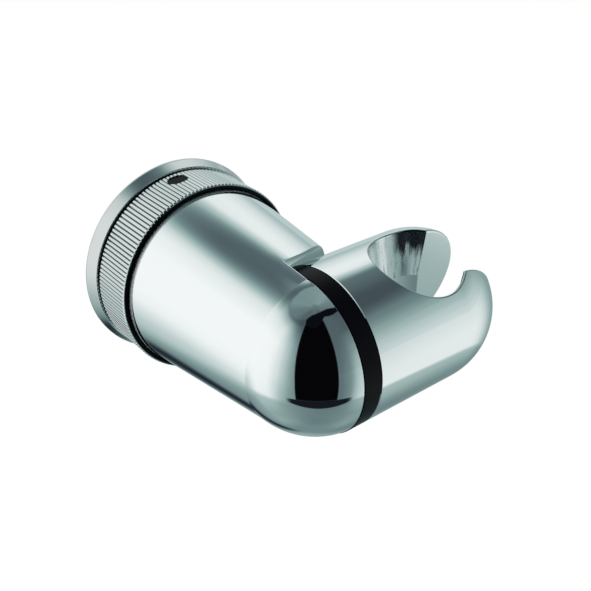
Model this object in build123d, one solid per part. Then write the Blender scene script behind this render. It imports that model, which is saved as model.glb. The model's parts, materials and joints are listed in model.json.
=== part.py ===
# Hand shower holder: a wall rosette, a knurled clamping ring, a conical elbow
# that turns about the wall axis and a swivelling cup for the hand shower's cone.
#
# Frame, in millimetres: the origin is the centre of the rosette's back face, on
# the wall. +Y points into the wall, so the elbow reaches out along -Y. +X runs
# along the cup's axis and +Z is up. "Out" means distance from the wall.
import math
import os

from build123d import *

# Clearances
thread_gap = 0.08
running_gap = 0.08
slide_gap = 0.05
nest_gap = 0.15

# Wall rosette, plate and gasket
rosette_radius = 30.0
rosette_height = 3.9
rosette_land = 0.5
rosette_draw = 1.3
rosette_edge = 0.3
rosette_skin = 0.9
rosette_rim = 3.05
plate_floor = 4.2
collar_wall = 4.0
collar_length = 5.8
gasket_margin = 1.6
gasket_width = 3.2
gasket_height = 1.0
screw_margin = 1.8
screw_hole_count = 3
screw_hole_radius = 2.6
screw_head_radius = 4.8
screw_hole_depth = 2.0

# Knurled clamping ring
ring_step = 1.8
ring_wall = 3.6
ring_length = 14.0
ring_washer_height = 0.6
ring_washer_margin = 0.3
ring_lip_length = 3.7
ring_lip_width = 4.6
ring_recess_depth = 2.2
ring_front_round = 1.0
ring_back_round = 0.4
ring_rim = 0.1
rib_count = 148
rib_depth = 0.3
rib_margin = 0.02
groove_share = 0.5

# Locking screw under the black oval cap in the ring
lock_angle = 96.0
lock_out = 8.25
lock_cap_length = 6.0
lock_cap_width = 4.9
lock_cap_height = 1.2
lock_cap_sink = 0.35
lock_screw_radius = 1.5
lock_screw_height = 2.2
lock_socket_radius = 0.75
lock_socket_depth = 1.0

# Elbow body
reach = 64.35
barrel_radius = 21.35
base_gap = 0.5
base_recess = 0.8
base_edge = 0.35
slip_wall = 1.07
neck_wall = 3.0
brake_height = 0.5
brake_width = 3.0
clip_groove_width = 1.1
clip_groove_depth = 1.0
clip_thickness = 1.0
clip_stand = 1.8
clip_split = 24.0
thrust_height = 0.6
thrust_width = 2.0
core_radius = 17.6
shoulder_gap = 2.85
shoulder_web = 3.0
seat_wall = 4.5
seat_edge = 0.3

# Black swivel ring between elbow and cup
swivel_ring_length = 5.0
key_radius = 1.4
key_length = 1.3
key_circle_radius = 15.5
key_count = 2

# Swivel cup
cup_length = 31.5
spigot_radius = 9.0
o_ring_circle_radius = 12.6
o_ring_section = 2.0
cup_edge = 0.3
bore_offset = 31.3
bore_tilt = 14.0
bore_lean = 15.0
bore_lead = 1.0
seat_top_radius = 12.15
seat_depth = 19.4
seat_end_radius = 10.2
throat_radius = 10.4
slot_width = 15.3
slot_lead = 0.7
prong_edge = 0.5

# Pivot screw stack along the cup's axis
pivot_radius = 3.0
pivot_head_radius = 5.0
pivot_head_height = 4.2
pivot_socket_radius = 2.5
pivot_socket_depth = 2.2
pivot_seat_wall = 9.5
pivot_end = 1.2
bush_wall = 1.6
bush_flange_radius = 7.6
bush_flange_height = 1.2
friction_radius = 8.0
friction_height = 0.8
washer_radius = 7.0
washer_height = 1.0
spring_radius = 6.4
spring_thickness = 0.6
spring_cone = 0.35
spring_count = 2
nut_flats = 10.0
nut_height = 4.6

# Radii worked out inwards from the rosette's
plate_radius = rosette_radius - rosette_rim - nest_gap
gasket_radius = plate_radius - gasket_margin
ring_radius = rosette_radius - ring_step
ring_washer_radius = ring_radius - ring_washer_margin
collar_radius = ring_radius - ring_wall
thread_bore = collar_radius + thread_gap
collar_bore = collar_radius - collar_wall
screw_circle_radius = collar_bore - screw_head_radius - screw_margin
ring_recess_radius = ring_radius - ring_front_round - ring_rim
base_radius = ring_recess_radius - base_gap
ring_lip_radius = ring_radius - ring_lip_width
neck_radius = ring_lip_radius - running_gap - slip_wall - slide_gap
neck_bore = neck_radius - neck_wall
clip_radius = neck_radius + clip_stand
thrust_radius = neck_radius + thrust_width

# Places worked out from the sizes above, as distances out from the wall
plate_front = rosette_height - rosette_skin
collar_out = plate_front + collar_length + rosette_skin
ring_back = rosette_height + ring_washer_height
ring_front = ring_back + ring_length
recess_out = ring_front - ring_recess_depth
lip_back = recess_out - ring_lip_length
base_out = ring_front - base_recess
neck_end = collar_out + brake_height + slide_gap
thrust_back = lip_back - slide_gap - thrust_height
clip_front = thrust_back
clip_back = clip_front - clip_thickness

# Places along the cup's axis
seat_x = -swivel_ring_length / 2
ring_face_x = swivel_ring_length / 2
cup_back_x = ring_face_x + slide_gap
cup_round_x = ring_face_x + cup_length
bore_x = ring_face_x + bore_offset
seat_inner_x = seat_x - seat_wall
friction_x = seat_inner_x - friction_height
washer_x = friction_x - slide_gap - washer_height
spring_height = spring_thickness + spring_cone
spring_stack = spring_count * spring_height + spring_count * slide_gap
nut_x = washer_x - spring_stack - nut_height

wall_axis = Axis.Y
cup_axis = Axis((0, -reach, 0), (1, 0, 0))


def turned(points):
    # A solid of revolution about the wall axis, from (radius, out) points.
    outline = Polyline([(radius, -out) for radius, out in points], close=True)
    return revolve(make_face(outline), wall_axis)


def turned_cup(points):
    # A solid of revolution about the cup's axis, from (x, radius) points.
    outline = Polyline([(x, radius - reach) for x, radius in points], close=True)
    return revolve(make_face(outline), cup_axis)


def tube(inner, outer, start, end):
    return turned([(inner, start), (outer, start), (outer, end), (inner, end)])


def cup_tube(inner, outer, start, end):
    return turned_cup([(start, inner), (start, outer), (end, outer), (end, inner)])


def disc(radius, start, end):
    return turned([(0, start), (radius, start), (radius, end), (0, end)])


def cup_disc(radius, start, end):
    return turned_cup([(start, 0), (start, radius), (end, radius), (end, 0)])


def rims(body, radius):
    # Circular edges of this radius, the one farthest out from the wall first.
    circles = body.edges().filter_by(GeomType.CIRCLE).sort_by(Axis.Y)
    return [edge for edge in circles if abs(edge.radius - radius) < 0.001]


# Wall plate: cast disc with the threaded collar and three countersunk holes
def wall_plate():
    body = turned([
        (0, 0),
        (plate_radius, 0),
        (plate_radius, plate_front),
        (collar_radius, plate_front),
        (collar_radius, collar_out),
        (collar_bore, collar_out),
        (collar_bore, plate_floor),
        (0, plate_floor),
    ])
    groove = tube(gasket_radius - gasket_width - nest_gap, gasket_radius + nest_gap, 0, gasket_height)
    hole = turned([
        (0, 0),
        (screw_hole_radius, 0),
        (screw_hole_radius, screw_hole_depth),
        (screw_head_radius, plate_floor),
        (0, plate_floor),
    ])
    body -= groove
    for index in range(screw_hole_count):
        angle = math.radians(90 + index * 360 / screw_hole_count)
        place = (screw_circle_radius * math.cos(angle), 0, screw_circle_radius * math.sin(angle))
        body -= Pos(*place) * hole
    return body


# Gasket: soft ring that lies in the plate's back groove
def wall_gasket():
    return tube(gasket_radius - gasket_width, gasket_radius, 0, gasket_height)


# Rosette: cover with a drawn-in flank, dropped over the plate
def rosette():
    front_radius = rosette_radius - rosette_draw
    body = turned([
        (plate_radius + nest_gap, 0),
        (rosette_radius, 0),
        (rosette_radius, rosette_land),
        (front_radius, rosette_height),
        (collar_radius + nest_gap, rosette_height),
        (collar_radius + nest_gap, plate_front),
        (plate_radius + nest_gap, plate_front),
    ])
    return fillet(rims(body, front_radius), rosette_edge)


# Black washer between rosette and ring, seen as the thin dark line
def ring_washer():
    return tube(collar_radius + nest_gap, ring_washer_radius, rosette_height, ring_back - slide_gap)


def ribbed_outline():
    # Ring outline with one V groove per rib.
    step = 2 * math.pi / rib_count
    points = []
    for index in range(rib_count):
        start = index * step
        half = groove_share * step / 2
        for radius, angle in (
            (ring_radius, start - half),
            (ring_radius - rib_depth, start),
            (ring_radius, start + half),
        ):
            points.append((radius * math.cos(angle), radius * math.sin(angle)))
    return make_face(Polyline(points, close=True))


def lock_frame(radius):
    # Plane tangent to the ring at the locking screw, its normal pointing outward.
    angle = math.radians(lock_angle)
    outward = (math.cos(angle), 0, math.sin(angle))
    origin = (radius * outward[0], -lock_out, radius * outward[2])
    return Plane(origin=origin, x_dir=(0, 1, 0), z_dir=outward)


def oval(length, width, radius, height):
    # Obround prism that hangs inward from a plane at the given radius.
    face = Rot(0, 0, 90) * SlotOverall(length, width)
    return lock_frame(radius) * extrude(face, -height)


def lock_hole(radius, outer, depth):
    return lock_frame(outer) * extrude(Circle(radius), -depth)


# Knurled ring: threaded at the back, with an inward lip that holds the elbow
def knurled_ring():
    front_plane = Plane(origin=(0, 0, 0), x_dir=(1, 0, 0), z_dir=(0, -1, 0))
    blank = front_plane * extrude(ribbed_outline(), ring_front)
    outside = ring_radius + rib_margin
    envelope = turned([
        (thread_bore, ring_back),
        (outside, ring_back),
        (outside, ring_front),
        (ring_recess_radius, ring_front),
        (ring_recess_radius, recess_out),
        (ring_lip_radius, recess_out),
        (ring_lip_radius, lip_back),
        (thread_bore, lip_back),
    ])
    envelope = fillet(rims(envelope, outside)[0], ring_front_round)
    envelope = fillet(rims(envelope, outside)[-1], ring_back_round)
    ring = blank & envelope
    ring -= oval(lock_cap_length, lock_cap_width, ring_radius + rib_depth, lock_cap_height + rib_depth)
    ring -= lock_hole(lock_screw_radius + running_gap, ring_radius, ring_radius - collar_radius)
    return ring


# Locking screw: socket grub screw through the ring, against the collar
def lock_screw():
    outer = thread_bore + lock_screw_height
    screw = lock_hole(lock_screw_radius, outer, lock_screw_height)
    socket = RegularPolygon(lock_socket_radius, 6, major_radius=True)
    return screw - lock_frame(outer) * extrude(socket, -lock_socket_depth)


# Lock screw cap: black oval plug pushed in over the locking screw
def lock_screw_cap():
    height = lock_cap_height - lock_cap_sink
    length = lock_cap_length - 2 * running_gap
    width = lock_cap_width - 2 * running_gap
    return oval(length, width, ring_radius - lock_cap_sink, height)


def elbow_outside():
    # Cone from the base to the elbow, closed by a dome on the cup's axis.
    base = (base_radius, -base_out)
    bend = (barrel_radius, -reach)
    outline = Line((0, -base_out), base)
    outline += Line(base, bend)
    outline += CenterArc((0, -reach), barrel_radius, 0, -90)
    outline += Line((0, -reach - barrel_radius), (0, -base_out))
    return revolve(make_face(outline), wall_axis)


def elbow_core():
    # Hollow drawn out through the neck, with a flat wall behind the swivel seat.
    core_end = (core_radius, -reach)
    outline = Line((0, -neck_end), (neck_bore, -neck_end))
    outline += Line((neck_bore, -neck_end), core_end)
    outline += CenterArc((0, -reach), core_radius, 0, -90)
    outline += Line((0, -reach - core_radius), (0, -neck_end))
    core = revolve(make_face(outline), wall_axis)
    web_out = reach - barrel_radius - shoulder_gap - shoulder_web
    depth = reach + core_radius - web_out
    block = Box(2 * core_radius, depth, 2 * core_radius, align=(Align.MIN, Align.MAX, Align.CENTER))
    return core - Pos(seat_inner_x, -web_out, 0) * block


def seat_rim(body):
    # Outer edges of the flat face that the swivel ring sits on.
    chosen = []
    for edge in body.edges():
        points = [edge.position_at(share) for share in (0.2, 0.5, 0.8)]
        flat = all(abs(point.X - seat_x) < 0.001 for point in points)
        radius = math.hypot(points[1].Y + reach, points[1].Z)
        if flat and radius < barrel_radius + shoulder_gap - 0.01:
            chosen.append(edge)
    return chosen


# Elbow body: hollow casting, cut back for the cup and necked for the ring
def elbow_body():
    body = elbow_outside()
    sweep_radius = barrel_radius + shoulder_gap
    body -= cup_disc(sweep_radius, seat_x, base_radius + sweep_radius)
    body = fillet(rims(body, base_radius), base_edge)
    body = fillet(seat_rim(body), seat_edge)
    body += disc(neck_radius, neck_end, base_out)
    body -= elbow_core()
    body -= tube(neck_radius - clip_groove_depth, neck_radius, clip_front - clip_groove_width, clip_front)
    body -= cup_disc(pivot_radius + running_gap + bush_wall, seat_inner_x, seat_x)
    body -= cup_disc(bush_flange_radius, seat_x - bush_flange_height, seat_x)
    for place in key_places():
        body -= place * Cylinder(key_radius + running_gap, key_length + nest_gap, align=key_align)
    return body


key_align = (Align.CENTER, Align.CENTER, Align.MAX)


def key_places():
    # Where the swivel ring's keys enter the elbow's seat.
    places = []
    for index in range(key_count):
        angle = math.radians(90 + index * 360 / key_count)
        across = key_circle_radius * math.cos(angle)
        up = key_circle_radius * math.sin(angle)
        places.append(Pos(seat_x, across - reach, up) * Rot(0, 90, 0))
    return places


# Slip bush: black flanged bush the ring turns on, seen in the front groove
def slip_bush():
    return turned([
        (neck_radius + slide_gap, lip_back),
        (ring_lip_radius - running_gap, lip_back),
        (ring_lip_radius - running_gap, recess_out + slide_gap),
        (ring_recess_radius - running_gap, recess_out + slide_gap),
        (ring_recess_radius - running_gap, base_out),
        (neck_radius + slide_gap, base_out),
    ])


def thrust_washer():
    return tube(neck_radius + slide_gap, thrust_radius, thrust_back, thrust_back + thrust_height)


# Retaining ring: split spring ring in the neck's groove
def retaining_ring():
    inner = neck_radius - clip_groove_depth + slide_gap
    ring = tube(inner, clip_radius, clip_back, clip_front)
    width = 2 * clip_radius * math.sin(math.radians(clip_split / 2))
    gap = Box(width, clip_thickness, clip_radius, align=(Align.CENTER, Align.MAX, Align.MAX))
    return ring - Pos(0, -clip_back, 0) * gap


def brake_washer():
    return tube(neck_radius - brake_width, neck_radius, collar_out, collar_out + brake_height)


# Swivel ring: the black band, keyed to the elbow so that only the cup slides on it
def swivel_ring():
    ring = cup_tube(spigot_radius + running_gap, barrel_radius, seat_x, ring_face_x)
    for place in key_places():
        ring += place * Cylinder(key_radius, key_length, align=key_align)
    return ring


def bore_frame():
    # Local +Z runs up the bore, which tilts away from the wall and leans to the elbow.
    frame = Plane(origin=(bore_x, -reach, 0), x_dir=(1, 0, 0), z_dir=(0, 0, 1))
    return frame.location * Rot(bore_tilt, 0, 0) * Pos(0, -bore_lead, 0) * Rot(0, -bore_lean, 0)


def bore_cutter():
    # Tapered seat above a ledge, then a plain throat, with the slot to the nose.
    ledge = barrel_radius - seat_depth
    top = 2 * barrel_radius
    taper = (seat_top_radius - seat_end_radius) / seat_depth
    outline = Polyline(
        [
            (0, top),
            (seat_end_radius + taper * (top - ledge), top),
            (seat_end_radius, ledge),
            (throat_radius, ledge),
            (throat_radius, -top),
            (0, -top),
        ],
        close=True,
    )
    bore = revolve(Plane.XZ * make_face(outline), Axis.Z)
    slot = Box(2 * top, slot_width, 2 * top, align=(Align.MIN, Align.CENTER, Align.CENTER))
    return bore_frame() * (bore + Pos(0, -slot_lead, 0) * slot)


def on_skin(edge):
    # True for an edge that lies on the cup's outer surface.
    for share in (0.2, 0.5, 0.8):
        point = edge.position_at(share)
        along = max(point.X - cup_round_x, 0)
        radius = math.hypot(along, point.Y + reach, point.Z)
        if abs(radius - barrel_radius) > 0.01:
            return False
    return True


def cut_edges(cup):
    # Rims that the bore and slot leave, and the upright corners between them.
    chosen = []
    for edge in cup.edges():
        kind = edge.geom_type
        own_circle = kind == GeomType.CIRCLE and abs(edge.radius - barrel_radius) < 0.01
        upright = kind in (GeomType.HYPERBOLA, GeomType.LINE) and edge.length > seat_end_radius
        if on_skin(edge):
            if kind != GeomType.LINE and not own_circle:
                chosen.append(edge)
        elif upright and edge.position_at(0.5).X > bore_x:
            chosen.append(edge)
    return chosen


# Swivel cup: round-nosed barrel with the tapered seat, slot and centring spigot
def swivel_cup():
    spigot_x = seat_x + slide_gap
    back = cup_back_x
    outline = Line((spigot_x, -reach), (spigot_x, spigot_radius - reach))
    outline += Line((spigot_x, spigot_radius - reach), (back, spigot_radius - reach))
    outline += Line((back, spigot_radius - reach), (back, barrel_radius - cup_edge - reach))
    outline += Line((back, barrel_radius - cup_edge - reach), (back + cup_edge, barrel_radius - reach))
    outline += Line((back + cup_edge, barrel_radius - reach), (cup_round_x, barrel_radius - reach))
    outline += CenterArc((cup_round_x, -reach), barrel_radius, 0, 90)
    outline += Line((cup_round_x + barrel_radius, -reach), (spigot_x, -reach))
    cup = revolve(make_face(outline), cup_axis)
    cup -= bore_cutter()
    cup = fillet(cut_edges(cup), prong_edge)
    inner = o_ring_circle_radius - o_ring_section / 2 - nest_gap
    outer = o_ring_circle_radius + o_ring_section / 2 + nest_gap
    cup -= cup_tube(inner, outer, back, back + o_ring_section)
    cup -= cup_disc(pivot_radius + running_gap, spigot_x, bore_x)
    cup -= cup_disc(pivot_head_radius + nest_gap, head_x(), bore_x)
    return cup


def head_x():
    # Under-head face of the pivot screw, deep in the cup's back wall.
    return cup_back_x + pivot_seat_wall


def swivel_o_ring():
    centre_x = cup_back_x + o_ring_section / 2
    section = Pos(centre_x, o_ring_circle_radius - reach) * Circle(o_ring_section / 2)
    return revolve(section, cup_axis)


# Pivot screw: socket head in the cup, thread end in the elbow's hollow
def pivot_screw():
    head = head_x()
    top = head + pivot_head_height
    screw = cup_disc(pivot_radius, nut_x - pivot_end, head) + cup_disc(pivot_head_radius, head, top)
    socket_plane = Plane(origin=(top, -reach, 0), x_dir=(0, 1, 0), z_dir=(1, 0, 0))
    socket = RegularPolygon(pivot_socket_radius, 6, major_radius=True)
    return screw - socket_plane * extrude(socket, -pivot_socket_depth)


def pivot_bush():
    inner = pivot_radius + running_gap
    sleeve = cup_tube(inner, inner + bush_wall - slide_gap, seat_inner_x, seat_x)
    flange = cup_tube(inner, bush_flange_radius - slide_gap, seat_x - bush_flange_height, seat_x)
    return sleeve + flange


def friction_disc():
    return cup_tube(pivot_radius + nest_gap, friction_radius, friction_x, seat_inner_x)


def pivot_washer():
    return cup_tube(pivot_radius + nest_gap, washer_radius, washer_x, washer_x + washer_height)


# Disc springs: coned washers set back to back under the nut
def disc_springs():
    springs = []
    inner = pivot_radius + nest_gap
    for index in range(spring_count):
        near = washer_x - slide_gap - index * (spring_height + slide_gap)
        rise = spring_cone if index % 2 == 0 else 0
        fall = spring_cone - rise
        springs.append(turned_cup([
            (near - rise, inner),
            (near - fall, spring_radius),
            (near - fall - spring_thickness, spring_radius),
            (near - rise - spring_thickness, inner),
        ]))
    return Compound(children=springs)


def lock_nut():
    plane = Plane(origin=(nut_x, -reach, 0), x_dir=(0, 1, 0), z_dir=(1, 0, 0))
    nut = plane * extrude(RegularPolygon(nut_flats / 2, 6, major_radius=False), nut_height)
    return nut - cup_disc(pivot_radius + slide_gap, nut_x, nut_x + nut_height)


pieces = {
    "wall_plate": wall_plate,
    "wall_gasket": wall_gasket,
    "rosette": rosette,
    "ring_washer": ring_washer,
    "knurled_ring": knurled_ring,
    "lock_screw": lock_screw,
    "lock_screw_cap": lock_screw_cap,
    "brake_washer": brake_washer,
    "elbow_body": elbow_body,
    "slip_bush": slip_bush,
    "thrust_washer": thrust_washer,
    "retaining_ring": retaining_ring,
    "swivel_ring": swivel_ring,
    "pivot_bush": pivot_bush,
    "friction_disc": friction_disc,
    "swivel_cup": swivel_cup,
    "swivel_o_ring": swivel_o_ring,
    "pivot_screw": pivot_screw,
    "pivot_washer": pivot_washer,
    "disc_springs": disc_springs,
    "lock_nut": lock_nut,
}

os.makedirs("parts", exist_ok=True)
for name, make in pieces.items():
    export_step(make(), f"parts/{name}.step")
    print("wrote", name)
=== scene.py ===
# Hand shower holder: finishes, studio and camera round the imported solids
import json
import math

import bmesh
import bpy
from mathutils import Matrix, Vector

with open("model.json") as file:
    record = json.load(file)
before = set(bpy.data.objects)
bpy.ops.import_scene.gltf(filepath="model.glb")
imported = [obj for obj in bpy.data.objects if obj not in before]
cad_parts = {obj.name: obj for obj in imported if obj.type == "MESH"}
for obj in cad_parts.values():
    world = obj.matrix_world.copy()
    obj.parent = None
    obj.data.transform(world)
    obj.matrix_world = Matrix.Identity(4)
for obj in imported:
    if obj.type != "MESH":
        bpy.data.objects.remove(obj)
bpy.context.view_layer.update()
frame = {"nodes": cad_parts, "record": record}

nodes = frame["nodes"]
print("frame loaded", len(nodes), "nodes")

# Sizes of the finishes are millimetres. The studio is in metres and degrees.
wallAxis = (0, 1, 0)


def srgb(hexCode):
    # sRGB hex value to the linear colour that shaders take
    parts = [int(hexCode[i:i + 2], 16) / 255 for i in (0, 2, 4)]
    linear = [p / 12.92 if p <= 0.04045 else ((p + 0.055) / 1.055) ** 2.4 for p in parts]
    return (*linear, 1.0)


def mm(size):
    return size / 1000


def mmScale(size):
    # noise scale that gives features about this many millimetres wide
    return 1000 / size


def feed(tree, node, inputs):
    # an output of another node is linked in, anything else is set as a plain value
    for key, source in inputs.items():
        if isinstance(source, bpy.types.NodeSocket):
            tree.links.new(source, node.inputs[key])
        else:
            node.inputs[key].default_value = source


def addNode(tree, kind, inputs=None, **settings):
    # one node with its settings, values and links
    node = tree.nodes.new("ShaderNode" + kind)
    for key, value in settings.items():
        setattr(node, key, value)
    feed(tree, node, inputs or {})
    return node


def fillRamp(node, stops, smooth):
    # stops of (place, colour) or (place, grey) on a colour ramp
    band = node.color_ramp
    band.interpolation = smooth
    while len(band.elements) < len(stops):
        band.elements.new(1.0)
    for element, (place, shade) in zip(band.elements, stops):
        element.position = place
        element.color = shade if isinstance(shade, tuple) else (shade, shade, shade, 1.0)
    return node.outputs["Color"]


def newMaterial(name):
    # material with a bare Principled shader, and the place on the piece for its patterns
    material = bpy.data.materials.new(name)
    material.use_nodes = True
    tree = material.node_tree
    place = addNode(tree, "TexCoord").outputs["Object"]
    return material, tree, tree.nodes["Principled BSDF"], place


# Chrome-plated brass, polished before plating: a cool mirror whose sharpness drifts a little
# where the buffing wheel pressed harder. The elbow has hairlines too, drawn coarser than they
# are so that they show, and satin next to the ring, where the wheel stops short.
chromeLook = {
    "colour": "EDF1F1",
    "roughness": 0.03,
    "drift": 9.0,
    "sharpest": 0.7,  # share of the roughness where it is most polished
    "softest": 1.5,
    "hairline": 0.22,
    "hairDepth": 0.0012,
    "baseStart": -19.0,
    "baseEnd": -20.2,
    "baseRoughness": 0.5,
}


def startChrome(name, look):
    # the plated metal itself: cool colour and a roughness that drifts
    material, tree, shader, place = newMaterial(name)
    drift = addNode(tree, "TexNoise", {"Vector": place, "Scale": mmScale(chromeLook["drift"]),
                                       "Detail": 3.0, "Roughness": 0.6})
    spread = addNode(tree, "MapRange", {"Value": drift.outputs["Fac"], "From Min": 0.35, "From Max": 0.75,
                                        "To Min": look["roughness"] * chromeLook["sharpest"],
                                        "To Max": look["roughness"] * chromeLook["softest"]})
    feed(tree, shader, {"Base Color": srgb(look["colour"]), "Metallic": 1.0,
                        "Roughness": spread.outputs["Result"]})
    return material, tree, shader, place


def dullWhere(tree, shader, amount, roughness):
    # takes the shader's roughness to a duller one where the amount is 1
    before = shader.inputs["Roughness"].links[0].from_socket
    dulled = addNode(tree, "Mix", {0: amount, 2: before, 3: roughness}, data_type="FLOAT")
    feed(tree, shader, {"Roughness": dulled.outputs["Result"]})


def axisDistance(tree, place, axis):
    # how far a point is from an axis through the origin
    across = addNode(tree, "VectorMath", {0: place, 1: axis}, operation="CROSS_PRODUCT")
    return addNode(tree, "VectorMath", {0: across.outputs["Vector"]}, operation="LENGTH").outputs["Value"]


def makeElbowChrome():
    material, tree, shader, place = startChrome("elbowChromePlate", chromeLook)
    depth = addNode(tree, "SeparateXYZ", {"Vector": place}).outputs["Y"]
    base = addNode(tree, "MapRange", {"Value": depth, "From Min": mm(chromeLook["baseEnd"]),
                                      "From Max": mm(chromeLook["baseStart"])},
                   interpolation_type="SMOOTHSTEP")
    dullWhere(tree, shader, base.outputs["Result"], chromeLook["baseRoughness"])
    hairs = addNode(tree, "TexNoise", {"Vector": place, "Scale": mmScale(chromeLook["hairline"]),
                                       "Detail": 2.0, "Distortion": 0.6})
    bump = addNode(tree, "Bump", {"Height": hairs.outputs["Fac"], "Strength": 0.35,
                                  "Distance": mm(chromeLook["hairDepth"])})
    feed(tree, shader, {"Normal": bump.outputs["Normal"]})
    return material


# Rosette: chrome-plated brass, turned and plated without a last polish. Fine turning rings,
# drawn coarser than they are, drag the reflections out across the flank and leave it a shade
# softer than the elbow. The crown turns the flank's shading outwards, as on a rounder flank.
rosetteLook = {
    "colour": "CED4D4",
    "roughness": 0.10,
    "ring": 0.16,
    "ringDepth": 0.005,
    "waver": 2.5,
    "waverReach": 0.12,
    "crown": -0.20,  # slope that the height map adds to the flank
    "land": 0.6,  # the flat rim at the wall, which stays plain
}


def makeTurnedChrome():
    material, tree, shader, place = startChrome("turnedChromePlate", rosetteLook)
    radius = axisDistance(tree, place, wallAxis)
    waver = addNode(tree, "TexNoise", {"Vector": place, "Scale": mmScale(rosetteLook["waver"]),
                                       "Detail": 1.0})
    wander = addNode(tree, "Math", {0: waver.outputs["Fac"], 1: mm(rosetteLook["waverReach"]), 2: radius},
                     operation="MULTIPLY_ADD")
    rings = addNode(tree, "TexNoise", {"W": wander.outputs["Value"], "Scale": mmScale(rosetteLook["ring"]),
                                       "Detail": 2.0},
                    noise_dimensions="1D")
    depth = addNode(tree, "SeparateXYZ", {"Vector": place}).outputs["Y"]
    pastLand = addNode(tree, "Math", {0: depth, 1: mm(rosetteLook["land"])}, operation="ADD")
    flank = addNode(tree, "Math", {0: pastLand.outputs["Value"], 1: 0.0}, operation="MINIMUM")
    crown = addNode(tree, "Math", {0: flank.outputs["Value"], 1: rosetteLook["crown"]},
                    operation="MULTIPLY")
    height = addNode(tree, "Math", {0: rings.outputs["Fac"], 1: mm(rosetteLook["ringDepth"]),
                                    2: crown.outputs["Value"]},
                     operation="MULTIPLY_ADD")
    bump = addNode(tree, "Bump", {"Height": height.outputs["Value"], "Strength": 1.0, "Distance": 1.0})
    feed(tree, shader, {"Normal": bump.outputs["Normal"]})
    return material


# Clamping ring: chrome-plated brass, knurled with straight ribs. The ribs' tips are polished
# bright, and the grooves stay dull where neither the wheel nor the plating reached well; their darker
# colour is painted shade. Its front face was faced off and stays satin; its dark colour is painted shade.
ringLook = {
    "colour": "DAE1E0",
    "roughness": 0.08,
    "tip": 28.15,
    "root": 27.95,
    # darker colour of the grooves: painted shade
    "grooveShadeColour": "4A5457",
    "rootRoughness": 0.42,
    "ribFront": -17.4,
    "ribEnd": -17.8,
    "faceOuter": 27.85,
    "faceInner": 27.75,
    # dark colour of the front face: painted shade
    "faceShadeColour": "1A1D20",
    "faceRoughness": 0.5,
}


def makeRibbedChrome():
    material, tree, shader, place = startChrome("ribbedChromePlate", ringLook)
    radius = axisDistance(tree, place, wallAxis)
    depth = addNode(tree, "SeparateXYZ", {"Vector": place}).outputs["Y"]
    deep = addNode(tree, "MapRange", {"Value": radius, "From Min": mm(ringLook["tip"]),
                                      "From Max": mm(ringLook["root"])},
                   interpolation_type="SMOOTHSTEP")
    ribbed = addNode(tree, "MapRange", {"Value": depth, "From Min": mm(ringLook["ribEnd"]),
                                        "From Max": mm(ringLook["ribFront"])})
    groove = addNode(tree, "Math", {0: deep.outputs["Result"], 1: ribbed.outputs["Result"]},
                     operation="MULTIPLY").outputs["Value"]
    face = addNode(tree, "MapRange", {"Value": radius, "From Min": mm(ringLook["faceOuter"]),
                                      "From Max": mm(ringLook["faceInner"])}).outputs["Result"]
    # painted shade: the grooves are darkened in the colour
    colour = addNode(tree, "Mix", {0: groove, 6: srgb(ringLook["colour"]), 7: srgb(ringLook["grooveShadeColour"])},
                     data_type="RGBA")
    # painted shade: the front face is darkened in the colour
    faced = addNode(tree, "Mix", {0: face, 6: colour.outputs[2], 7: srgb(ringLook["faceShadeColour"])},
                    data_type="RGBA")
    feed(tree, shader, {"Base Color": faced.outputs[2]})
    dullWhere(tree, shader, groove, ringLook["rootRoughness"])
    dullWhere(tree, shader, face, ringLook["faceRoughness"])
    return material


# Cup: polished outside like the elbow. Inside the seat and slot the plating is thinner and satin
# with drawn streaks along the bore. Their dark lines and a dark patch beside the slot are painted shade.
cupLook = {
    "origin": (33.78, -65.32, -0.24),  # on the bore's axis
    "across": (0.9659, -0.0626, 0.2511),  # from the bore towards the slot
    "side": (0.0, 0.9703, 0.2419),
    "up": (-0.2588, -0.2337, 0.9372),  # along the bore
    "boreRadius": 10.15,
    "taper": 0.1005,
    "slotHalf": 7.8,
    "slotShift": 0.7,
    "satin": 0.20,
    "streakWidth": 0.11,  # radians round the bore
    "streakLength": 9.0,
    "streakDepth": 0.015,
    "streakFrom": 0.55,
    "streakTo": 0.72,
    "streakDark": 0.45,
    # painted shade beside the slot's corners: its reach round the bore, its height band, ragged edge and
    # colour
    "shadeFrom": 84.0,  # degrees away from the slot's middle
    "shadeTo": 70.0,
    "shadeLow": 8.0,
    "shadeHigh": 13.5,
    "shadeRagged": 12.0,
    "seatShadeColour": "34343F",
}


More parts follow.
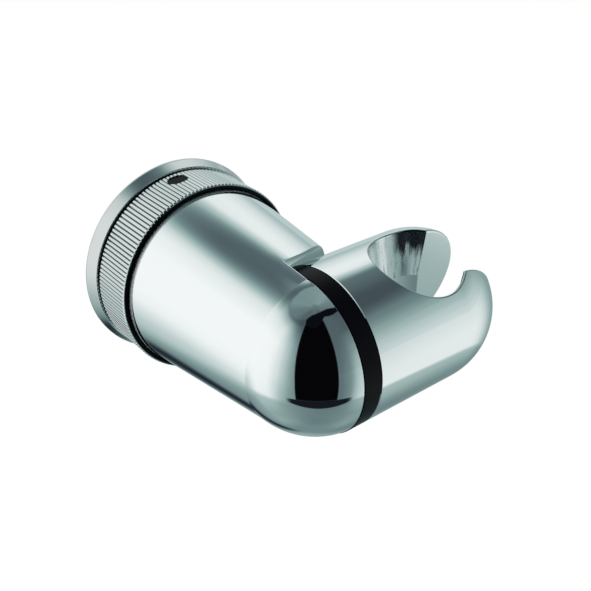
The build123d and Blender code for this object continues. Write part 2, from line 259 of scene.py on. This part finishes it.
def makeCupChrome():
    material, tree, shader, place = startChrome("cupChromePlate", chromeLook)
    local = addNode(tree, "VectorMath", {0: place, 1: [mm(v) for v in cupLook["origin"]]},
                    operation="SUBTRACT").outputs["Vector"]
    across, side, up = [
        addNode(tree, "VectorMath", {0: local, 1: cupLook[name]}, operation="DOT_PRODUCT").outputs["Value"]
        for name in ("across", "side", "up")
    ]

    # inside the tapered bore, or between the slot's flanks on its side of the bore
    wall = addNode(tree, "Math", {0: up, 1: cupLook["taper"], 2: mm(cupLook["boreRadius"])},
                   operation="MULTIPLY_ADD")
    bore = addNode(tree, "Math", {0: axisDistance(tree, local, cupLook["up"]), 1: wall.outputs["Value"]},
                   operation="LESS_THAN").outputs["Value"]
    flanks = addNode(tree, "Math", {0: side, 1: -mm(cupLook["slotShift"]), 2: mm(cupLook["slotHalf"])},
                     operation="COMPARE")
    ahead = addNode(tree, "Math", {0: across, 1: 0.0}, operation="GREATER_THAN")
    slot = addNode(tree, "Math", {0: flanks.outputs["Value"], 1: ahead.outputs["Value"]},
                   operation="MULTIPLY")
    inside = addNode(tree, "Math", {0: bore, 1: slot.outputs["Value"]}, operation="MAXIMUM")
    dullWhere(tree, shader, inside.outputs["Value"], cupLook["satin"])

    # streaks run along the bore, so the noise is laid out on the angle round it and the height
    angle = addNode(tree, "Math", {0: side, 1: across}, operation="ARCTAN2").outputs["Value"]
    unrolled = addNode(tree, "CombineXYZ", {"X": angle, "Y": up})
    spacing = (1 / cupLook["streakWidth"], mmScale(cupLook["streakLength"]), 0)
    stretched = addNode(tree, "VectorMath", {0: unrolled.outputs["Vector"], 1: spacing},
                        operation="MULTIPLY")
    streaks = addNode(tree, "TexNoise", {"Vector": stretched.outputs["Vector"], "Scale": 1.0,
                                         "Detail": 4.0},
                      noise_dimensions="2D").outputs["Fac"]
    # the streaks darken the colour too: real drawn streaks, with painted shade in their darkness
    lines = addNode(tree, "MapRange", {"Value": streaks, "From Min": cupLook["streakFrom"],
                                       "From Max": cupLook["streakTo"], "To Max": cupLook["streakDark"]},
                    interpolation_type="SMOOTHSTEP")

    # painted shade for a short way round from the slot's corners, with a ragged lower edge
    turned = addNode(tree, "Math", {0: angle}, operation="ABSOLUTE")
    beside = addNode(tree, "MapRange", {"Value": turned.outputs["Value"],
                                        "From Min": math.radians(cupLook["shadeFrom"]),
                                        "From Max": math.radians(cupLook["shadeTo"])},
                     interpolation_type="SMOOTHSTEP")
    centred = addNode(tree, "Math", {0: streaks, 1: 0.5}, operation="SUBTRACT")
    ragged = addNode(tree, "Math", {0: centred.outputs["Value"], 1: mm(cupLook["shadeRagged"]), 2: up},
                     operation="MULTIPLY_ADD")
    high = addNode(tree, "MapRange", {"Value": ragged.outputs["Value"], "From Min": mm(cupLook["shadeLow"]),
                                      "From Max": mm(cupLook["shadeHigh"])},
                   interpolation_type="SMOOTHSTEP")
    rubbed = addNode(tree, "Math", {0: beside.outputs["Result"], 1: high.outputs["Result"]},
                     operation="MULTIPLY")
    marks = addNode(tree, "Math", {0: rubbed.outputs["Value"], 1: lines.outputs["Result"]},
                    operation="MAXIMUM")
    # the colour is darkened inside the bore only, by the painted shade and the streak lines
    dark = addNode(tree, "Math", {0: marks.outputs["Value"], 1: bore}, operation="MULTIPLY")
    colour = addNode(tree, "Mix", {0: dark.outputs["Value"], 6: srgb(chromeLook["colour"]),
                                   7: srgb(cupLook["seatShadeColour"])}, data_type="RGBA")

    relief = addNode(tree, "Math", {0: streaks, 1: bore}, operation="MULTIPLY")
    bump = addNode(tree, "Bump", {"Height": relief.outputs["Value"], "Strength": 0.5,
                                  "Distance": mm(cupLook["streakDepth"])})
    feed(tree, shader, {"Base Color": colour.outputs[2], "Normal": bump.outputs["Normal"]})
    return material


# Black acetal, injection moulded: dense black with a soft sheen and a fine even grain. Its
# specular level is low, because the mould's texture breaks up most of what it would mirror.
blackLook = {
    "colour": "040407",
    "specular": 0.05,
    "rough": (0.25, 0.38),
    "grain": 0.35,
    "grainDepth": 0.012,
}


def makeBlackAcetal():
    material, tree, shader, place = newMaterial("mouldedBlackAcetal")
    grain = addNode(tree, "TexNoise", {"Vector": place, "Scale": mmScale(blackLook["grain"]),
                                       "Detail": 2.0}).outputs["Fac"]
    sheen = addNode(tree, "MapRange", {"Value": grain, "From Min": 0.3, "From Max": 0.7,
                                       "To Min": blackLook["rough"][0], "To Max": blackLook["rough"][1]})
    bump = addNode(tree, "Bump", {"Height": grain, "Strength": 0.4,
                                  "Distance": mm(blackLook["grainDepth"])})
    feed(tree, shader, {"Base Color": srgb(blackLook["colour"]),
                        "Specular IOR Level": blackLook["specular"],
                        "Roughness": sheen.outputs["Result"], "Normal": bump.outputs["Normal"]})
    return material


# Inner parts, each with the grain of how it was made: two colours that drift into each other,
# a finer grain as height and a roughness that follows it.
innerLooks = {
    # sand-cast brass, turned where it seats: warm yellow with duller patches and a pitted skin
    "cast_brass": {"name": "sandCastBrass", "colours": ("9A7740", "B28F50"), "metal": 1.0,
                   "drift": 1.4, "grain": 0.35, "rough": (0.34, 0.55), "depth": 0.03},
    # sintered bronze: browner than brass and full of fine dark oil pores
    "bearing_bronze": {"name": "sinteredBronze", "colours": ("5E3F22", "9C6F42"), "metal": 1.0,
                       "drift": 0.25, "grain": 0.12, "rough": (0.38, 0.62), "depth": 0.01},
    # stainless steel, turned and pickled: even grey with a soft silky shine
    "stainless": {"name": "pickledStainless", "colours": ("A9ABA9", "C6C8C5"), "metal": 1.0,
                  "drift": 1.6, "grain": 0.10, "rough": (0.24, 0.36), "depth": 0.004},
    # spring steel, hardened and blued: dark blue-grey that turns straw-brown in patches
    "spring_steel": {"name": "bluedSpringSteel", "colours": ("2C3648", "4C4844"), "metal": 1.0,
                     "drift": 2.2, "grain": 0.15, "rough": (0.26, 0.38), "depth": 0.004},
    # white acetal, moulded: off-white and slightly waxy
    "white_acetal": {"name": "mouldedWhiteAcetal", "colours": ("DEDBD1", "E9E7DF"), "metal": 0.0,
                     "drift": 4.0, "grain": 0.40, "rough": (0.36, 0.48), "depth": 0.01},
    # pressed brake fibre: dry red-brown with lighter fibres
    "brake_fibre": {"name": "pressedBrakeFibre", "colours": ("442A1C", "7A5238"), "metal": 0.0,
                    "drift": 0.45, "grain": 0.20, "rough": (0.82, 0.96), "depth": 0.04},
    # nitrile rubber, moulded: matt black with a dusty bloom
    "seal_rubber": {"name": "mouldedNitrile", "colours": ("0C0C0D", "1B1B1C"), "metal": 0.0,
                    "drift": 2.5, "grain": 0.30, "rough": (0.60, 0.80), "depth": 0.02},
}


def makeInner(look):
    material, tree, shader, place = newMaterial(look["name"])
    drift = addNode(tree, "TexNoise", {"Vector": place, "Scale": mmScale(look["drift"]), "Detail": 4.0})
    patches = addNode(tree, "MapRange", {"Value": drift.outputs["Fac"], "From Min": 0.35, "From Max": 0.65})
    colour = addNode(tree, "Mix", {0: patches.outputs["Result"], 6: srgb(look["colours"][0]),
                                   7: srgb(look["colours"][1])}, data_type="RGBA")
    grain = addNode(tree, "TexNoise", {"Vector": place, "Scale": mmScale(look["grain"]),
                                       "Detail": 3.0}).outputs["Fac"]
    rough = addNode(tree, "MapRange", {"Value": grain, "From Min": 0.3, "From Max": 0.7,
                                       "To Min": look["rough"][0], "To Max": look["rough"][1]})
    bump = addNode(tree, "Bump", {"Height": grain, "Strength": 0.6, "Distance": mm(look["depth"])})
    feed(tree, shader, {"Base Color": colour.outputs[2], "Metallic": look["metal"],
                        "Roughness": rough.outputs["Result"], "Normal": bump.outputs["Normal"]})
    return material


finishes = {"black_polymer": makeBlackAcetal()}  # by material slot
for slot, look in innerLooks.items():
    finishes[slot] = makeInner(look)
ownFinish = {  # by piece, because each chrome piece was finished in its own way
    "elbow_body": makeElbowChrome(),
    "rosette": makeTurnedChrome(),
    "knurled_ring": makeRibbedChrome(),
    "swivel_cup": makeCupChrome(),
}
slotOf = {s["node"]: s["material_slot"] for s in frame["record"]["subparts"]}
for nodeName, obj in nodes.items():
    finish = ownFinish.get(nodeName) or finishes[slotOf[nodeName]]
    obj.data.materials.clear()
    obj.data.materials.append(finish)
print("materials made", len(finishes) + len(ownFinish))

# Light tent that the chrome mirrors. Azimuth is in degrees: 0 looks out of the wall, 90 along
# the cup, -90 to its left. Elevation is in degrees too. Tones are what the mirror shows, 0 black
# and 1 white, given as (degrees, tone) stops or as one number. An edge is (reading, where the
# layer starts to show, where it's full), and a layer covers what all of its edges let through.
# They were set one by one, until the chrome mirrors the bands that it shows in the photograph.
# Two shapes of wall that come twice: the upper half on the left, and the whole at the back.
leftTop = ((20, 0.0), (30, 0.02), (42, 0.11), (46, 0.17), (50, 0.29), (54, 0.46), (58, 0.66), (60, 0.83),
           (62, 0.94), (65, 1.0))
backShare = ((-46, 1.0), (-40, 0.86), (-20, 0.62), (0, 0.50), (8, 0.35), (14, 0.20), (22, 0.08),
             (32, 0.0), (40, 0.05), (46, 0.46), (49, 0.78), (53, 1.0))
tent = {
    "centre": (0.0, -0.05, 0.0),
    "radius": 2.0,
    "floorHeight": -0.38,
    "strength": 1.16,
    # bright walls round the part
    "walls": [
        {"along": "azimuth", "edges": [],
         "tones": ((-180, 0.85), (-150, 0.93), (-130, 0.955), (-110, 0.95), (-98, 0.93), (-91, 0.87),
                   (-85, 0.80), (-75, 0.63), (-64, 0.45), (-10, 0.36), (0, 0.41), (6, 0.48), (11, 0.60),
                   (16, 0.70), (22, 0.78), (36, 0.86), (46, 0.89), (58, 0.87), (68, 0.81), (78, 0.71),
                   (90, 0.58), (106, 0.51), (117, 0.57), (128, 0.86), (146, 0.88), (160, 0.80),
                   (180, 0.85))},
    ],
    # floor cloth below and ceiling cloth above them
    "cloths": [
        {"along": "azimuth", "edges": [],
         "tones": ((-180, 0.12), (-173, 0.17), (-163, 0.42), (-125, 0.54), (-104, 0.54), (-73, 0.48),
                   (-45, 0.41), (-12, 0.41), (16, 0.46), (45, 0.51), (66, 0.47), (100, 0.42),
                   (135, 0.54), (158, 0.50), (168, 0.30), (180, 0.12))},
        {"along": "azimuth", "edges": [("elevation", -0.75, 0.75)],
         "tones": ((-180, 0.31), (-150, 0.36), (-90, 0.28), (-66, 0.26), (0, 0.31), (40, 0.28),
                   (80, 0.26), (110, 0.34), (150, 0.33), (180, 0.31))},
    ],
    # how much the cloths take over from each wall, by elevation: left, middle, near, right, back
    "shares": [
        {"along": "elevation", "edges": [],
         "tones": ((-50, 1.0), (-46, 0.90), (-42, 0.70), (-38, 0.50), (-30, 0.38), (-20, 0.14),
                   (-10, 0.03), (0, 0.0)) + leftTop},
        {"along": "elevation", "edges": [("azimuth", -138, -118)],
         "tones": ((-60, 1.0), (-50, 0.82), (-43, 0.70), (-40.5, 0.46), (-38, 0.15), (-30, 0.06),
                   (-15, 0.02), (0, 0.0)) + leftTop},
        {"along": "elevation", "edges": [("azimuth", -104, -70)],
         "tones": ((-45, 1.0), (-38, 0.76), (-33, 0.60), (-28, 0.50), (-20, 0.32), (-12, 0.11),
                   (0, 0.0), (18, 0.0), (30, 0.10), (36, 0.21), (44, 0.43), (52, 0.68), (58, 0.85),
                   (63, 1.0))},
        {"along": "elevation", "edges": [("azimuth", -39.75, -38.25)],
         "tones": ((-56, 1.0), (-50, 0.87), (-44, 0.73), (-39.5, 0.64), (-37.8, 0.48), (-36, 0.06),
                   (-33, 0.0), (-18, 0.01), (-7, 0.09), (7, 0.22), (14, 0.33), (21, 0.49), (28, 0.61),
                   (34, 0.74), (40, 0.84), (48, 1.0))},
        {"along": "elevation", "edges": [("azimuth", 113, 123)], "tones": backShare},
        {"along": "elevation", "edges": [("azimuth", -132, -170)], "tones": backShare},
    ],
    # what hangs in front: zenith, one plain tone overhead and underfoot, a dark strip under the
    # tall dark opening on the camera's side, and a dark slit in the ceiling above it
    "front": [
        {"along": "azimuth", "edges": [("zenithEdge", -2, 2)],
         "tones": ((-180, 0.46), (-154, 0.46), (-133, 0.40), (-106, 0.37), (-86, 0.32), (-45, 0.34),
                   (-10, 0.31), (24, 0.36), (60, 0.39), (85, 0.43), (112, 0.50), (142, 0.48),
                   (180, 0.46))},
        {"tones": 0.37, "edges": [("elevation", 83, 89)]},
        {"tones": 0.44, "edges": [("elevation", -69, -83)]},
        {"tones": 0.085, "edges": [("azimuth", -77, -67), ("azimuth", 12, 2),
                                   ("sagging", -45.75, -44.25), ("elevation", -32.75, -34.25)]},
        {"tones": 0.0, "edges": [("leaning", -64.75, -63.25), ("azimuth", -9.95, -11.45),
                                 ("elevation", -34.25, -32.75), ("elevation", 71.75, 70.25)]},
        {"tones": 0.03, "edges": [("azimuth", -73, -70), ("azimuth", 61.5, 58.5),
                                  ("slitBottom", -0.75, 0.75), ("slitTop", 0.75, -0.75)]},
    ],
    "lean": 0.055,  # of the opening's left edge
    "sag": 0.0040,  # of the strip's lower edge, away from its middle
    "sagMiddle": -33.0,
    # elevation of the edges that change with the azimuth
    "curvedEdges": {
        "zenithEdge": ((-180, 60), (-150, 61), (-100, 63), (-75, 72), (-60, 79), (45, 79), (57, 72),
                       (70, 64), (100, 58), (140, 55), (180, 60)),
        "slitTop": ((-180, 66), (-78, 66), (-76, 69), (-70, 73.5), (-60, 78), (-35, 81), (0, 81.7),
                    (30, 80), (50, 76), (57, 71.5), (64, 66), (180, 66)),
        "slitBottom": ((-180, 72), (-78, 72), (-72, 69), (-66, 64), (-40, 62), (-17, 69), (0, 73.5),
                       (15, 71.7), (30, 69), (44, 66), (52, 62), (60, 58), (180, 58)),
    },
    # colour of each tone: darker ones are cooler
    "shades": ((0.0, "050507"), (0.08, "14141C"), (0.18, "2E363E"), (0.25, "404C52"), (0.33, "556569"),
               (0.40, "677B7E"), (0.46, "758A8A"), (0.52, "849B9A"), (0.59, "97ACAA"), (0.65, "A5B8B7"),
               (0.74, "BCC9C9"), (0.80, "CDD6D6"), (0.86, "DBE1E0"), (0.91, "E8ECEB"), (0.96, "F5F5F5"),
               (1.0, "FFFFFF")),
}
reachOf = {"azimuth": 180, "elevation": 90}  # degrees either way


def toneAlong(tree, readings, along, stops):
    # tone read from stops in degrees, along the azimuth or the elevation
    reach = reachOf[along]
    share = addNode(tree, "MapRange", {"Value": readings[along], "From Min": -reach, "From Max": reach})
    ramp = addNode(tree, "ValToRGB", {"Fac": share.outputs["Result"]})
    return fillRamp(ramp, [((degrees / reach + 1) / 2, tone) for degrees, tone in stops], "CARDINAL")


def paintLayers(tree, readings, layers, tone=0.0):
    # each layer goes over the ones before it
    for layer in layers:
        cover = 1.0
        for name, start, full in layer["edges"]:
            edge = addNode(tree, "MapRange", {"Value": readings[name], "From Min": start, "From Max": full},
                           interpolation_type="SMOOTHSTEP")
            cover = addNode(tree, "Math", {0: cover, 1: edge.outputs["Result"]},
                            operation="MULTIPLY").outputs["Value"]
        over = layer["tones"]
        if "along" in layer:
            over = toneAlong(tree, readings, layer["along"], over)
        tone = addNode(tree, "Mix", {0: cover, 2: tone, 3: over}, data_type="FLOAT").outputs["Result"]
    return tone


def readAngles(tree):
    # azimuth, elevation and what is worked out from them, seen from the tent's centre
    place = addNode(tree, "TexCoord").outputs["Object"]
    aim = addNode(tree, "VectorMath", {0: place}, operation="NORMALIZE").outputs["Vector"]
    split = addNode(tree, "SeparateXYZ", {"Vector": aim}).outputs
    outwards = addNode(tree, "Math", {0: split["Y"], 1: -1.0}, operation="MULTIPLY")
    turn = addNode(tree, "Math", {0: split["X"], 1: outwards.outputs["Value"]}, operation="ARCTAN2")
    rise = addNode(tree, "Math", {0: split["Z"]}, operation="ARCSINE")
    readings = {}
    for name, angle in (("azimuth", turn), ("elevation", rise)):
        inDegrees = addNode(tree, "Math", {0: angle.outputs["Value"]}, operation="DEGREES")
        readings[name] = inDegrees.outputs["Value"]
    azimuth = readings["azimuth"]
    elevation = readings["elevation"]

    # azimuth that leans with the height, and elevation that sags away from one azimuth
    leaning = addNode(tree, "Math", {0: elevation, 1: tent["lean"], 2: azimuth}, operation="MULTIPLY_ADD")
    readings["leaning"] = leaning.outputs["Value"]
    aside = addNode(tree, "Math", {0: azimuth, 1: tent["sagMiddle"]}, operation="SUBTRACT").outputs["Value"]
    squared = addNode(tree, "Math", {0: aside, 1: aside}, operation="MULTIPLY")
    sagging = addNode(tree, "Math", {0: squared.outputs["Value"], 1: -tent["sag"], 2: elevation},
                      operation="MULTIPLY_ADD")
    readings["sagging"] = sagging.outputs["Value"]

    # how far above each curved edge
    top = reachOf["elevation"]
    for name, stops in tent["curvedEdges"].items():
        edge = toneAlong(tree, readings, "azimuth", [(degrees, height / top) for degrees, height in stops])
        above = addNode(tree, "Math", {0: edge, 1: -top, 2: elevation}, operation="MULTIPLY_ADD")
        readings[name] = above.outputs["Value"]
    return readings


def makeTentCloth():
    material = bpy.data.materials.new("tentCloth")
    material.use_nodes = True
    tree = material.node_tree
    tree.nodes.clear()
    readings = readAngles(tree)
    walls = paintLayers(tree, readings, tent["walls"])
    cloths = paintLayers(tree, readings, tent["cloths"])
    shares = paintLayers(tree, readings, tent["shares"])
    behind = addNode(tree, "Mix", {0: shares, 2: walls, 3: cloths}, data_type="FLOAT")
    tone = paintLayers(tree, readings, tent["front"], behind.outputs["Result"])
    colour = fillRamp(addNode(tree, "ValToRGB", {"Fac": tone}),
                      [(at, srgb(code)) for at, code in tent["shades"]], "LINEAR")
    light = addNode(tree, "Emission", {"Color": colour, "Strength": tent["strength"]})
    addNode(tree, "OutputMaterial", {"Surface": light.outputs["Emission"]})
    return material


def buildTent():
    # a sphere flattened at the floor, which only the chrome sees
    mesh = bpy.data.meshes.new("lightTent")
    bm = bmesh.new()
    bmesh.ops.create_uvsphere(bm, u_segments=96, v_segments=48, radius=tent["radius"])
    for vert in bm.verts:
        vert.co.z = max(vert.co.z, tent["floorHeight"])
    bm.to_mesh(mesh)
    bm.free()
    mesh.materials.append(makeTentCloth())
    obj = bpy.data.objects.new("lightTent", mesh)
    obj.location = tent["centre"]
    bpy.context.scene.collection.objects.link(obj)
    obj.visible_camera = False
    obj.visible_diffuse = False
    obj.visible_transmission = False
    obj.visible_shadow = False


buildTent()
print("tent made")

# Floor and world: white to the camera and in mirrors, and lit plainly for everything else
floorLook = {
    "height": -0.4,
    "half": 3.0,
    "colour": "F6F6F4",
    "roughness": 0.9,
    "glow": 0.75,
    "fadeFrom": 0.3,
    "fadeTo": 1.0,
}


def whiteToEye(tree):
    # 1 for camera, glossy and transmission rays
    path = addNode(tree, "LightPath").outputs
    seen = addNode(tree, "Math", {0: path["Is Camera Ray"], 1: path["Is Glossy Ray"]}, operation="MAXIMUM")
    return addNode(tree, "Math", {0: seen.outputs["Value"], 1: path["Is Transmission Ray"]},
                   operation="MAXIMUM").outputs["Value"]


def buildFloor():
    # matt paper that fades to plain white away from the part
    mesh = bpy.data.meshes.new("paleFloor")
    bm = bmesh.new()
    bmesh.ops.create_grid(bm, x_segments=1, y_segments=1, size=floorLook["half"])
    bm.to_mesh(mesh)
    bm.free()
    obj = bpy.data.objects.new("paleFloor", mesh)
    obj.location = (0, 0, floorLook["height"])
    bpy.context.scene.collection.objects.link(obj)
    material, tree, shader, place = newMaterial("mattPaper")
    feed(tree, shader, {"Base Color": srgb(floorLook["colour"]), "Roughness": floorLook["roughness"]})
    glow = addNode(tree, "Emission", {"Color": (1, 1, 1, 1), "Strength": 1.0})
    away = addNode(tree, "VectorMath", {0: place}, operation="LENGTH")
    fade = addNode(tree, "MapRange", {"Value": away.outputs["Value"], "From Min": floorLook["fadeFrom"],
                                      "From Max": floorLook["fadeTo"], "To Min": floorLook["glow"]},
                   interpolation_type="SMOOTHSTEP")
    share = addNode(tree, "Math", {0: whiteToEye(tree), 1: fade.outputs["Result"]}, operation="MULTIPLY")
    blend = addNode(tree, "MixShader", {0: share.outputs["Value"], 1: shader.outputs["BSDF"],
                                        2: glow.outputs["Emission"]})
    feed(tree, tree.nodes["Material Output"], {"Surface": blend.outputs["Shader"]})
    mesh.materials.append(material)


buildFloor()

worldLight = {"strength": 0.7}
world = bpy.data.worlds.new("whiteSurround")
world.use_nodes = True
bpy.context.scene.world = world
worldTree = world.node_tree
level = addNode(worldTree, "MapRange", {"Value": whiteToEye(worldTree), "To Min": worldLight["strength"]})
feed(worldTree, worldTree.nodes["Background"], {"Color": (1, 1, 1, 1),
                                                "Strength": level.outputs["Result"]})

# Softboxes: light for whatever isn't a mirror; the chrome sees only the tent
softboxes = {
    "leftSoftbox": {"place": (-0.9, -0.5, 0.7), "size": 0.9, "power": 9.0},
    "rightSoftbox": {"place": (0.8, -0.9, 0.5), "size": 0.7, "power": 5.0},
    "topSoftbox": {"place": (0.0, 0.1, 1.1), "size": 0.9, "power": 6.0},
}
for lampName, lamp in softboxes.items():
    data = bpy.data.lights.new(lampName, "AREA")
    data.shape = "SQUARE"
    data.size = lamp["size"]
    data.energy = lamp["power"]
    obj = bpy.data.objects.new(lampName, data)
    bpy.context.scene.collection.objects.link(obj)
    spot = Vector(lamp["place"])
    aim = Vector(tent["centre"]) - spot
    obj.matrix_world = Matrix.Translation(spot) @ aim.to_track_quat("-Z", "Y").to_matrix().to_4x4()
    obj.visible_glossy = False
    obj.visible_camera = False
print("floor, world and softboxes made")

# Camera, where the photograph was taken from: fitted to the outlines in its 591 x 591 frame
cameraView = {
    "place": (-0.112558, -0.197980, 0.119043),
    "right": (0.78235548, -0.62283216, 0.0),
    "up": (0.31702782, 0.39822679, 0.86076059),
    "lens": 51.585,
    "sensor": 36.0,
    "nearest": 0.01,
}
lens = bpy.data.cameras.new("camera")
lens.lens = cameraView["lens"]
lens.sensor_width = cameraView["sensor"]
lens.clip_start = cameraView["nearest"]
camera = bpy.data.objects.new("camera", lens)
bpy.context.scene.collection.objects.link(camera)
right = Vector(cameraView["right"])
up = Vector(cameraView["up"])
turn = Matrix((right, up, right.cross(up))).transposed()
camera.matrix_world = Matrix.Translation(Vector(cameraView["place"])) @ turn.to_4x4()
bpy.context.scene.camera = camera
bpy.context.scene.view_settings.view_transform = "Standard"
print("camera placed")
